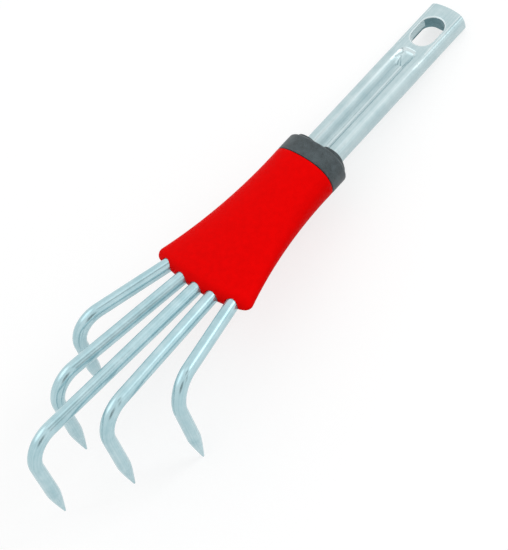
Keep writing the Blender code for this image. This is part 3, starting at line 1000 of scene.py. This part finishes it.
def oval(width, depth, y):
    """A rounded oval across the tool."""
    ring = []
    for i in range(OVAL_POINTS):
        angle = 2 * math.pi * i / OVAL_POINTS
        c, s = math.cos(angle), math.sin(angle)
        x = math.copysign(abs(c) ** (2 / OVAL_POWER), c) * width / 2
        z = math.copysign(abs(s) ** (2 / OVAL_POWER), s) * depth / 2
        ring.append(Vector((x, y, z)))
    return ring


def hood_ring(y, inset, depth_share=1.0):
    """One section of the hood, whose sides lean back towards the arched mouth."""
    flare = (abs(y) / HOOD_LENGTH) ** HOOD_FLARE_POWER
    half_width = (HOOD_TOP_WIDTH + (HOOD_MOUTH_WIDTH - HOOD_TOP_WIDTH) * flare) / 2
    half_depth = (HOOD_TOP_DEPTH + (HOOD_MOUTH_DEPTH - HOOD_TOP_DEPTH) * -y / HOOD_LENGTH) / 2
    corner = HOOD_CORNER - inset
    beyond = clamp((-y - HOOD_LENGTH + HOOD_CORNER) / HOOD_CORNER)
    half_width -= inset + corner * (1 - math.sqrt(1 - beyond ** 2))
    ring = oval(2 * half_width, 2 * (half_depth - inset) * depth_share, y)
    for point in ring:
        bow = (2 * point.x / HOOD_MOUTH_WIDTH) ** 2
        point.y += HOOD_MOUTH_CROWN * bow * max(0.0, -y / HOOD_LENGTH)
    return ring


def hood_skin(y_high, inset, nose, edge=0.0):
    """The hood's outside or its cavity, closed by a rounded nose."""
    y_low = -HOOD_LENGTH + HOOD_NOSE
    rounding = reversed(round_edge(y_high, edge)[1:]) if edge else ()
    rings = [hood_ring(y, inset + step) for y, step in rounding]
    rings += [hood_ring(y, inset) for y in spaced(y_high - edge, y_low, HOOD_STATIONS)]
    for i in range(1, NOSE_STEPS + 1):
        angle = math.pi / 2 * i / NOSE_STEPS
        depth_share = max(math.cos(angle), NOSE_LEAST)
        rings.append(hood_ring(y_low - nose * math.sin(angle), inset, depth_share))
    return skin(rings)


print("a hood section has", len(hood_ring(0.0, 0.0)), "points")

# %% [markdown]
# ## The hood's shell and its mouth
# The mould leaves the hood hollow, with an even wall and a thicker web across the mouth, and the
# bars come out through five holes in that web. The cavity's skin starts above the hood, so that the
# cut leaves the top open. Each hole is drilled along its own bar, with a small gap round it.

# %% Mould the hood and open its mouth for the bars
OVERSHOOT = 5 * MM

hood = hood_skin(0.0, 0.0, HOOD_NOSE, HOOD_EDGE)
hood = cut_away(hood, hood_skin(OVERSHOOT, HOOD_WALL, HOOD_NOSE - HOOD_END_WEB))
for side in SIDES:
    root, corner = tine_line(side)
    drill = bmesh.new()
    face = start_disc(drill, root, (corner - root).normalized(), BAR_RADIUS + FIT_GAP)
    pull_face(drill, face, (corner - root) / 2)
    hood = cut_away(hood, drill)
finish_piece("moulded_hood", hood, red_plastic, "hood")

# %% [markdown]
# ## The collar
# The collar plugs the hood with a spigot and carries the handle's flat seat. Its edges are rounded
# as moulding needs. So it is one skin too, from the spigot's end out to the step on the hood's rim
# and up to the seat, with a quarter round at both edges that show.

# %% Mould the collar
COLLAR_HEIGHT = 12.5 * MM
COLLAR_EDGE = 1.8 * MM
SPIGOT_DEPTH = 8.0 * MM


def collar_ring(y, step):
    """One section of the collar, which is as wide as the hood's top less a step."""
    return oval(HOOD_TOP_WIDTH - 2 * step, HOOD_TOP_DEPTH - 2 * step, y)


inset = HOOD_WALL + FIT_GAP
rings = [hood_ring(-SPIGOT_DEPTH, inset), hood_ring(0.0, inset)]
rings.append([Vector((p.x, FIT_GAP, p.z)) for p in rings[-1]])
rings += [collar_ring(FIT_GAP - y, step) for y, step in reversed(round_edge(0.0, HOOD_EDGE))]
rings += [collar_ring(y, step) for y, step in round_edge(COLLAR_HEIGHT, COLLAR_EDGE)]
collar = skin(rings)
print("the collar's skin has", len(collar.faces), "faces")

# %% [markdown]
# ## The collar's lip
# A thin lip stands on the seat, round the tongue, and follows its two lobes and its groove. So the
# lip is a second skin with the tongue's own profile, grown by the lip's wall, and it is joined to
# the collar. The opening has that profile too, grown by a small gap.

# %% Join the lip and open the collar for the tongue
LIP_HEIGHT = 2.8 * MM
LIP_WALL = 4.1 * MM
LIP_EDGE = 0.6 * MM
LIP_ROOT_Y = 4.0 * MM


def grown(form, amount):
    """A tongue's form, larger all round."""
    width, depth = form["half_width"] + amount, form["half_depth"] + amount
    return dict(form, half_width=width, half_depth=depth)


lip_top = COLLAR_HEIGHT + LIP_HEIGHT
lip = grown(TUBE, LIP_WALL)
rings = [tongue_ring(LIP_ROOT_Y, lip)]
rings += [tongue_ring(y, grown(lip, -step)) for y, step in round_edge(lip_top, LIP_EDGE)]
collar = cut_away(collar, skin(rings), "UNION")
opening_ends = (-SPIGOT_DEPTH - OVERSHOOT, lip_top + OVERSHOOT)
opening = skin([tongue_ring(y, grown(TUBE, FIT_GAP)) for y in opening_ends])
collar = cut_away(collar, opening)
finish_piece("moulded_collar", collar, grey_plastic, "collar")

# %% [markdown]
# ## Camera
# A long lens looks down on the tool from its right. Its place is written along the tool's axes, so
# that it keeps its view of the tool however the tool lies.

# %% Place the camera
CAMERA_PLACE = Vector((0.550357, -0.388077, 0.814736))
CAMERA_TURN = Euler([math.radians(a) for a in (35.1184, 12.9719, 41.2025)], "XYZ")
LENS_MM = 123.23
SENSOR_MM = 36.0
FAR_LIMIT = 50.0

scene = bpy.context.scene
camera = bpy.data.objects.new("camera", bpy.data.cameras.new("camera"))
camera.data.lens = LENS_MM
camera.data.sensor_width = SENSOR_MM
camera.data.sensor_fit = "AUTO"
camera.data.clip_end = FAR_LIMIT
camera.matrix_world = to_world @ Matrix.Translation(CAMERA_PLACE) @ CAMERA_TURN.to_matrix().to_4x4()
scene.collection.objects.link(camera)
scene.camera = camera
print("camera at", tuple(round(v, 3) for v in camera.matrix_world.translation))

# %% [markdown]
# ## The paper
# The tool lies on plain white paper. Lit by the lamp and the tent alone, it would come out grey.
# So it also glows, but only for the camera, mirrors and glass: there it is plain white with faint
# shadows, and the light that it sheds on the tool stays soft.

# %% Lay the paper
FLOOR_SIZE = 6.0
PAPER_TONE = "#aaaaaa"
PAPER_LIFT = 0.66
WHITE = "#ffffff"


def seen_directly(tree):
    """1 for rays from the camera, mirrored rays and rays through glass, else 0."""
    path = add_node(tree, "ShaderNodeLightPath").outputs
    first = add_math(tree, "MAXIMUM", path["Is Camera Ray"], path["Is Glossy Ray"])
    return add_math(tree, "MAXIMUM", first, path["Is Transmission Ray"])


paper, tree = new_material("white_paper")
lift = add_math(tree, "MULTIPLY", seen_directly(tree), PAPER_LIFT)
matt = add_node(tree, "ShaderNodeBsdfDiffuse", Color=linear(PAPER_TONE))
glow = add_node(tree, "ShaderNodeEmission", Color=linear(WHITE), Strength=lift)
both = add_node(tree, "ShaderNodeAddShader", _0=matt.outputs["BSDF"], _1=glow.outputs["Emission"])
add_node(tree, "ShaderNodeOutputMaterial", Surface=both.outputs["Shader"])

floor_mesh = bmesh.new()
bmesh.ops.create_grid(floor_mesh, x_segments=1, y_segments=1, size=FLOOR_SIZE / 2)
floor = plain_object("paper_floor", floor_mesh)
floor.data.materials.append(paper)
print("paper floor of", FLOOR_SIZE, "metres")

# %% [markdown]
# ## The tent's cloth
# A tent of thin white cloth stands round the tool, and the metal mirrors it, so each place on the
# metal is as bright as the cloth in the mirrored direction. The helpers aim at a direction, fade a
# value between two limits, and take a share of light off a patch; below 0 it gets brighter.

# %% Helpers that shade the cloth
def toward(azimuth, elevation):
    """A direction; azimuth 0 is along Y and 90 along X, in degrees."""
    a, e = math.radians(azimuth), math.radians(elevation)
    return Vector((math.sin(a) * math.cos(e), math.cos(a) * math.cos(e), math.sin(e)))


def reach(tree, ray, direction):
    """How far a ray of length 1 reaches along a direction."""
    settings = {"operation": "DOT_PRODUCT"}
    return add_node(tree, "ShaderNodeVectorMath", settings, _0=ray, _1=direction).outputs["Value"]


def smooth_fade(tree, value, none, full):
    """0 up to one limit, 1 from the other, and smooth in between."""
    settings = {"interpolation_type": "SMOOTHSTEP"}
    limits = {"From_Min": none, "From_Max": full}
    return add_node(tree, "ShaderNodeMapRange", settings, Value=value, **limits).outputs["Result"]


def cone(tree, ray, direction, inner, outer):
    """1 for rays within the inner angle of a direction, fading to 0 at the outer angle."""
    none, full = math.cos(math.radians(outer)), math.cos(math.radians(inner))
    return smooth_fade(tree, reach(tree, ray, direction), none, full)


def darken(tree, brightness, patch, depth):
    """Take a share of a patch off the brightness so far."""
    return add_math(tree, "MULTIPLY_ADD", patch, -depth, brightness)


print("azimuth 90 is", tuple(round(v, 3) for v in toward(90, 0)))

# %% [markdown]
# ## Hanging the tent
# The camera sees plain white cloth, and the light that the cloth sheds is softer. What the metal
# mirrors is white too, apart from the tent's dim opening, low on the right, which draws a darker
# line along each bar. A few dimmer and brighter patches stand for folds of the cloth.

# %% Hang the tent around the tool
TENT_LIGHT = 0.76
GAP_ENDS = ((75, 13), (66, 29))
GAP_HALF_WIDTH = 7
GAP_REACH = (7, 15)
GAP_DEPTH = 0.95
# azimuth, elevation, inner and outer angle in degrees, and the share of light taken off
PATCHES = (
    (28, 33, 4, 18, -1.40),
    (-8, 62, 3, 14, -0.30),
    (-100, 56, 8, 30, -0.80),
    (43, 54, 4, 13, 0.60),
    (60, 9, 5, 14, -0.25),
    (112, 44, 6, 22, 0.85),
)

world = bpy.data.worlds.new("light_tent")
scene.world = world
world.use_nodes = True
tree = world.node_tree
tree.nodes.clear()
sky = add_node(tree, "ShaderNodeTexCoord").outputs["Generated"]
low, high = (toward(*end) for end in GAP_ENDS)
off_line = add_math(tree, "ABSOLUTE", reach(tree, sky, low.cross(high).normalized()))
slit = smooth_fade(tree, off_line, math.sin(math.radians(GAP_HALF_WIDTH)), 0.0)
gap = add_math(tree, "MULTIPLY", slit, cone(tree, sky, (low + high).normalized(), *GAP_REACH))
mirrored = darken(tree, 1.0, gap, GAP_DEPTH)
for azimuth, elevation, inner, outer, depth in PATCHES:
    patch = cone(tree, sky, toward(azimuth, elevation), inner, outer)
    mirrored = darken(tree, mirrored, patch, depth)
is_mirrored = add_node(tree, "ShaderNodeLightPath").outputs["Is Glossy Ray"]
brightness = mix_values(tree, is_mirrored, 1.0, mirrored)
white = add_node(tree, "ShaderNodeBackground", Color=linear(WHITE), Strength=brightness)
soft = add_node(tree, "ShaderNodeBackground", Color=linear(WHITE), Strength=TENT_LIGHT)
mix = add_node(
    tree, "ShaderNodeMixShader", _0=seen_directly(tree),
    _1=soft.outputs["Background"], _2=white.outputs["Background"],
)
add_node(tree, "ShaderNodeOutputWorld", Surface=mix.outputs["Shader"])
print("tent light", TENT_LIGHT, "with", len(PATCHES), "patches")

# %% [markdown]
# ## The lamp
# One large soft box stands behind the tool on its right, and sends the faint shadows forward and to
# the left. It is hidden from mirrors, because the metal mirrors the cloth alone. The tent gives the
# rest of the light, and both are dim enough that a colour renders about as it is written.

# %% Set the lamp
BOX_DIRECTION = toward(32, 32)
BOX_DISTANCE = 2.0
BOX_SIZE = 0.8
BOX_BRIGHTNESS = 4.6

lamp = bpy.data.lights.new("key_box", "AREA")
lamp.shape = "RECTANGLE"
lamp.size, lamp.size_y = BOX_SIZE, BOX_SIZE
lamp.energy = BOX_BRIGHTNESS * math.pi * BOX_SIZE * BOX_SIZE
key_box = bpy.data.objects.new("key_box", lamp)
key_box.location = BOX_DIRECTION * BOX_DISTANCE
key_box.rotation_euler = BOX_DIRECTION.to_track_quat("Z", "Y").to_euler()
key_box.visible_glossy = False
scene.collection.objects.link(key_box)
print("the lamp has", round(lamp.energy, 2), "watts")

# %% [markdown]
# ## The view
# The standard view transform shows colours about as they were written.

# %% Set the view
scene.view_settings.view_transform = "Standard"
